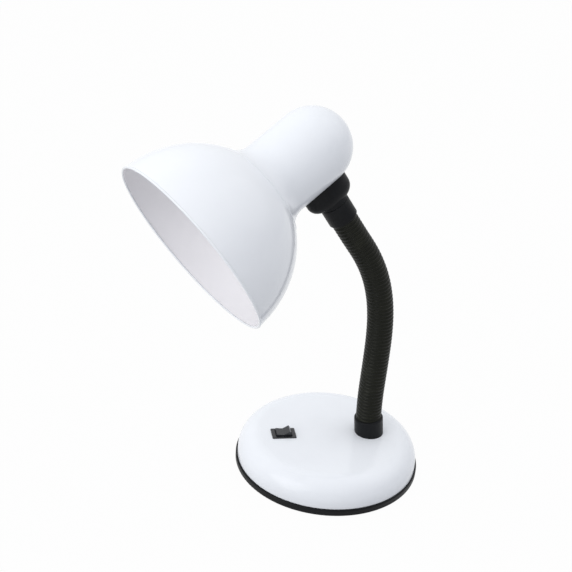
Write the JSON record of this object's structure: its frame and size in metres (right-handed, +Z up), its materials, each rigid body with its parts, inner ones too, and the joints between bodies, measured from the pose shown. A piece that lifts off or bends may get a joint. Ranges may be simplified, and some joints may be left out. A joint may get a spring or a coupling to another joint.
{
  "type": "desk lamp",
  "caption": "Gooseneck desk lamp with a weighted round base, rocker switch, ribbed flexible neck and an enamelled bowl shade.",
  "frame": {"origin": "centre of the base's underside, on the desk", "axes": "+Z up, -Y towards the lamp's front, where the switch and the shade are"},
  "size_m": [0.1942, 0.2606, 0.3228],
  "materials": {
    "white_lacquer": "glossy cool white",
    "shade_enamel": "glossy white enamel outside, satin white inside",
    "black_plastic": "satin black moulding",
    "pad_rubber": "dark foam rubber",
    "switch_plastic": "semi-gloss black",
    "cast_ballast": "rough cast",
    "zinc_steel": "zinc plated",
    "brass": "bright",
    "holder_plastic": "ivory white thermoset",
    "sleeve_vinyl": "black ribbed vinyl",
    "core_steel": "wound steel"
  },
  "bodies": {
    "base": {"base_cover": "white_lacquer", "foot_ring": "black_plastic", "base_plate": "zinc_steel", "anti_slip_pad": "pad_rubber", "ballast_weight": "cast_ballast", "plate_screws": "zinc_steel", "switch_body": "switch_plastic", "switch_terminals": "brass", "cord_gland": "black_plastic", "cord_clamp": "black_plastic", "clamp_screws": "zinc_steel", "neck_collar": "black_plastic", "neck_stud": "zinc_steel", "neck_washer": "zinc_steel", "neck_nut": "zinc_steel", "neck_sleeve_00": "sleeve_vinyl", "neck_core_00": "core_steel"},
    "rocker": {"rocker": "switch_plastic"},
    "link_01": {"neck_sleeve_01": "sleeve_vinyl", "neck_core_01": "core_steel"},
    "link_02": {"neck_sleeve_02": "sleeve_vinyl", "neck_core_02": "core_steel"},
    "link_03": {"neck_sleeve_03": "sleeve_vinyl", "neck_core_03": "core_steel"},
    "link_04": {"neck_sleeve_04": "sleeve_vinyl", "neck_core_04": "core_steel"},
    "link_05": {"neck_sleeve_05": "sleeve_vinyl", "neck_core_05": "core_steel"},
    "link_06": {"neck_sleeve_06": "sleeve_vinyl", "neck_core_06": "core_steel"},
    "link_07": {"neck_sleeve_07": "sleeve_vinyl", "neck_core_07": "core_steel"},
    "link_08": {"neck_sleeve_08": "sleeve_vinyl", "neck_core_08": "core_steel"},
    "link_09": {"neck_sleeve_09": "sleeve_vinyl", "neck_core_09": "core_steel"},
    "link_10": {"neck_sleeve_10": "sleeve_vinyl", "neck_core_10": "core_steel", "neck_ferrule": "black_plastic", "swivel_nipple": "zinc_steel", "swivel_washer": "zinc_steel", "swivel_nut": "zinc_steel"},
    "head": {"saddle": "black_plastic", "lamp_cap": "white_lacquer", "lampholder": "holder_plastic", "holder_screws": "zinc_steel", "screw_shell": "brass", "centre_contact": "brass", "shade_ring": "holder_plastic", "shade": "shade_enamel"}
  },
  "joints": [
    {"name": "rocker_press", "type": "hinge", "parent": "base", "child": "rocker", "pos_m": [0, -0.0399, 0.0292], "axis": [1, 0, 0], "range_deg": [-25, 0]},
    {"name": "neck_bend", "type": "hinge", "parent": "base", "child": "link_01", "pos_m": [0, 0.03442, 0.04639], "axis": [1, 0.002, 0], "range_deg": [-10, 10]},
    {"name": "neck_side", "type": "hinge", "parent": "link_01", "child": "link_02", "pos_m": [0, 0.0339, 0.06618], "axis": [0, 1, 0], "range_deg": [-10, 10]},
    {"name": "neck_bend_2", "type": "hinge", "parent": "link_02", "child": "link_03", "pos_m": [0, 0.03442, 0.08597], "axis": [1, 0.002, 0], "range_deg": [-10, 10]},
    {"name": "neck_side_2", "type": "hinge", "parent": "link_03", "child": "link_04", "pos_m": [0, 0.03494, 0.10577], "axis": [0, 0.9998, -0.0175], "range_deg": [-10, 10]},
    {"name": "neck_bend_3", "type": "hinge", "parent": "link_04", "child": "link_05", "pos_m": [0, 0.03511, 0.12557], "axis": [1, 0.002, 0], "range_deg": [-10, 10]},
    {"name": "neck_side_3", "type": "hinge", "parent": "link_05", "child": "link_06", "pos_m": [0, 0.03407, 0.14534], "axis": [0, 0.9945, 0.1045], "range_deg": [-10, 10]},
    {"name": "neck_bend_4", "type": "hinge", "parent": "link_06", "child": "link_07", "pos_m": [0, 0.03098, 0.1649], "axis": [1, 0.002, 0], "range_deg": [-10, 10]},
    {"name": "neck_side_4", "type": "hinge", "parent": "link_07", "child": "link_08", "pos_m": [0, 0.02519, 0.18383], "axis": [0, 0.9272, 0.3746], "range_deg": [-10, 10]},
    {"name": "neck_bend_5", "type": "hinge", "parent": "link_08", "child": "link_09", "pos_m": [0, 0.0162, 0.20147], "axis": [1, 0.002, 0], "range_deg": [-10, 10]},
    {"name": "neck_side_5", "type": "hinge", "parent": "link_09", "child": "link_10", "pos_m": [0, 0.00456, 0.21749], "axis": [0, 0.8166, 0.5771], "range_deg": [-10, 10]},
    {"name": "head_swivel", "type": "hinge", "parent": "link_10", "child": "head", "pos_m": [0, -0.02019, 0.2535], "axis": [0, -0.5664, 0.8241], "range_deg": [-110, 70]}
  ],
  "couplings": [
    {"joint": "neck_bend_2", "follows": "neck_bend", "ratio": 1},
    {"joint": "neck_side_2", "follows": "neck_side", "ratio": 1},
    {"joint": "neck_bend_3", "follows": "neck_bend", "ratio": 1},
    {"joint": "neck_side_3", "follows": "neck_side", "ratio": 1},
    {"joint": "neck_bend_4", "follows": "neck_bend", "ratio": 1},
    {"joint": "neck_side_4", "follows": "neck_side", "ratio": 1},
    {"joint": "neck_bend_5", "follows": "neck_bend", "ratio": 1},
    {"joint": "neck_side_5", "follows": "neck_side", "ratio": 1}
  ]
}
